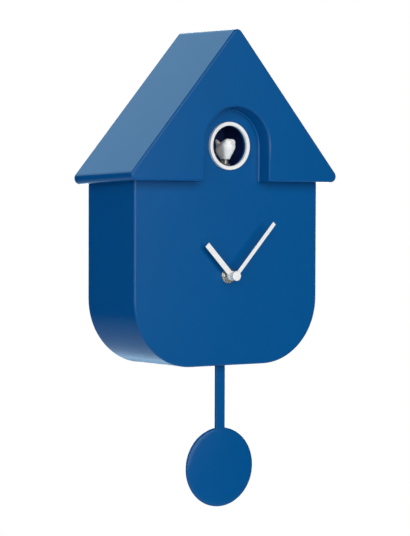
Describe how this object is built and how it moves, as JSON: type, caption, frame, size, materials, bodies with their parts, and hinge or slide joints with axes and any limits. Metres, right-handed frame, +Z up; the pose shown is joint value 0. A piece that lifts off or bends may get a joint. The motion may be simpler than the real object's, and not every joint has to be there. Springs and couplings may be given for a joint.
{
  "type": "cuckoo clock",
  "caption": "Gabled wall cuckoo clock with a plain front, two straight hands, a nodding bird in a ringed round window under an arch, and a disc pendulum.",
  "frame": {"origin": "centre of the keyhole's round opening, in the plane of the wall", "axes": "+X to the right as seen from the front, +Y into the wall, +Z up"},
  "size_m": [0.216, 0.0854, 0.4054],
  "materials": {
    "case_blue": "satin moulded ABS with fine texture",
    "white_plastic": "semi-gloss moulded plastic",
    "grey_plastic": "moulded plastic",
    "dark_lining": "unpolished dark moulding",
    "black_plastic": "fine textured moulding",
    "knob_plastic": "moulded plastic",
    "gear_plastic": "unfilled acetal",
    "brass_metal": "turned brass",
    "steel": "zinc plated or plain steel",
    "magnet_metal": "nickel plated magnet",
    "copper_wire": "enamelled copper winding",
    "rubber_seal": "soft rubber",
    "circuit_board": "solder mask",
    "chip_plastic": "epoxy moulding",
    "cell_label": "plain printed sleeve",
    "speaker_paper": "pressed paper",
    "sensor_lens": "clear lens",
    "wire_sleeve": "PVC sleeve"
  },
  "bodies": {
    "case": {"roof_shell": "case_blue", "body_shell": "case_blue", "window_ring": "white_plastic", "bird_chamber": "dark_lining", "rear_cover": "black_plastic", "movement_front_case": "black_plastic", "movement_rear_case": "black_plastic", "pendulum_bracket": "black_plastic", "battery_box": "black_plastic", "solenoid_bobbin": "gear_plastic", "hand_bushing": "brass_metal", "bushing_washer": "brass_metal", "bushing_nut": "brass_metal", "case_screws": "steel", "chamber_screws": "steel", "rocker_pin": "steel", "solenoid_core": "steel", "pendulum_pin": "steel", "stator_plate": "steel", "quartz_crystal": "steel", "movement_contacts": "steel", "sound_contacts": "steel", "speaker_basket": "steel", "speaker_magnet": "magnet_metal", "solenoid_coil": "copper_wire", "stator_coil": "copper_wire", "pendulum_coil": "copper_wire", "dial_gasket": "rubber_seal", "movement_board": "circuit_board", "sound_board": "circuit_board", "sound_chips": "chip_plastic", "movement_battery": "cell_label", "sound_batteries": "cell_label", "speaker_cone": "speaker_paper", "light_sensor": "sensor_lens", "wires": "wire_sleeve"},
    "minute": {"minute_arbor": "brass_metal", "minute_hand": "white_plastic", "hand_cap": "white_plastic"},
    "hour": {"hour_wheel": "gear_plastic", "hour_hand": "white_plastic"},
    "minute_work": {"minute_wheel": "gear_plastic"},
    "setting_knob": {"set_knob": "knob_plastic"},
    "rotor": {"rotor": "magnet_metal"},
    "step": {"step_wheel": "gear_plastic"},
    "second": {"second_wheel": "gear_plastic"},
    "third": {"third_wheel": "gear_plastic"},
    "centre": {"centre_wheel": "brass_metal"},
    "pendulum": {"pendulum_hanger": "gear_plastic", "pendulum_magnet": "magnet_metal", "pendulum_bar": "case_blue", "pendulum_disc": "case_blue"},
    "bird": {"bird": "white_plastic", "bird_peg": "knob_plastic", "bird_rocker": "grey_plastic", "rocker_magnet": "magnet_metal"},
    "volume": {"volume_slider": "knob_plastic"},
    "mode": {"mode_switch": "knob_plastic"},
    "battery_cover": {"battery_door": "black_plastic"},
    "service_cover": {"service_door": "black_plastic"}
  },
  "joints": [
    {"name": "minute_hand_turn", "type": "hinge", "parent": "case", "child": "minute", "pos_m": [0, 0, -0.1498], "axis": [0, 1, 0], "continuous": true},
    {"name": "hour_hand_turn", "type": "hinge", "parent": "case", "child": "hour", "pos_m": [0, 0, -0.1498], "axis": [0, 1, 0], "continuous": true},
    {"name": "minute_wheel_turn", "type": "hinge", "parent": "case", "child": "minute_work", "pos_m": [-0.01, 0, -0.1498], "axis": [0, 1, 0], "continuous": true},
    {"name": "set_knob_turn", "type": "hinge", "parent": "case", "child": "setting_knob", "pos_m": [-0.01174, 0, -0.13995], "axis": [0, 1, 0], "continuous": true},
    {"name": "rotor_turn", "type": "hinge", "parent": "case", "child": "rotor", "pos_m": [0.01434, 0, -0.15248], "axis": [0, 1, 0], "continuous": true},
    {"name": "step_wheel_turn", "type": "hinge", "parent": "case", "child": "step", "pos_m": [0.0158, 0, -0.14421], "axis": [0, 1, 0], "continuous": true},
    {"name": "second_wheel_turn", "type": "hinge", "parent": "case", "child": "second", "pos_m": [0.01423, 0, -0.13535], "axis": [0, 1, 0], "continuous": true},
    {"name": "third_wheel_turn", "type": "hinge", "parent": "case", "child": "third", "pos_m": [0.0054, 0, -0.14045], "axis": [0, 1, 0], "continuous": true},
    {"name": "centre_wheel_turn", "type": "hinge", "parent": "case", "child": "centre", "pos_m": [0, 0, -0.1498], "axis": [0, 1, 0], "continuous": true},
    {"name": "pendulum_swing", "type": "hinge", "parent": "case", "child": "pendulum", "pos_m": [0, -0.0599, -0.1848], "axis": [0, 1, 0], "range_deg": [-8, 8]},
    {"name": "bird_nod", "type": "hinge", "parent": "case", "child": "bird", "pos_m": [0, -0.0618, -0.08], "axis": [-1, 0, 0], "range_deg": [0, 12]},
    {"name": "volume_slide", "type": "slide", "parent": "case", "child": "volume", "axis": [1, 0, 0], "range_m": [0, 0.012]},
    {"name": "mode_slide", "type": "slide", "parent": "case", "child": "mode", "axis": [1, 0, 0], "range_m": [0, 0.004]},
    {"name": "battery_door_slide", "type": "slide", "parent": "case", "child": "battery_cover", "axis": [0, 0, 1], "range_m": [0, 0.012]},
    {"name": "service_door_swing", "type": "hinge", "parent": "case", "child": "service_cover", "pos_m": [-0.033, -0.00125, -0.1498], "axis": [0, 0, 1], "range_deg": [0, 100]}
  ],
  "couplings": [
    {"joint": "hour_hand_turn", "follows": "minute_hand_turn", "ratio": 0.083333},
    {"joint": "minute_wheel_turn", "follows": "minute_hand_turn", "ratio": -0.33333},
    {"joint": "set_knob_turn", "follows": "minute_hand_turn", "ratio": 1},
    {"joint": "step_wheel_turn", "follows": "rotor_turn", "ratio": -0.16667},
    {"joint": "second_wheel_turn", "follows": "rotor_turn", "ratio": 0.033333},
    {"joint": "third_wheel_turn", "follows": "rotor_turn", "ratio": -0.0044444},
    {"joint": "centre_wheel_turn", "follows": "rotor_turn", "ratio": 0.00055556}
  ]
}
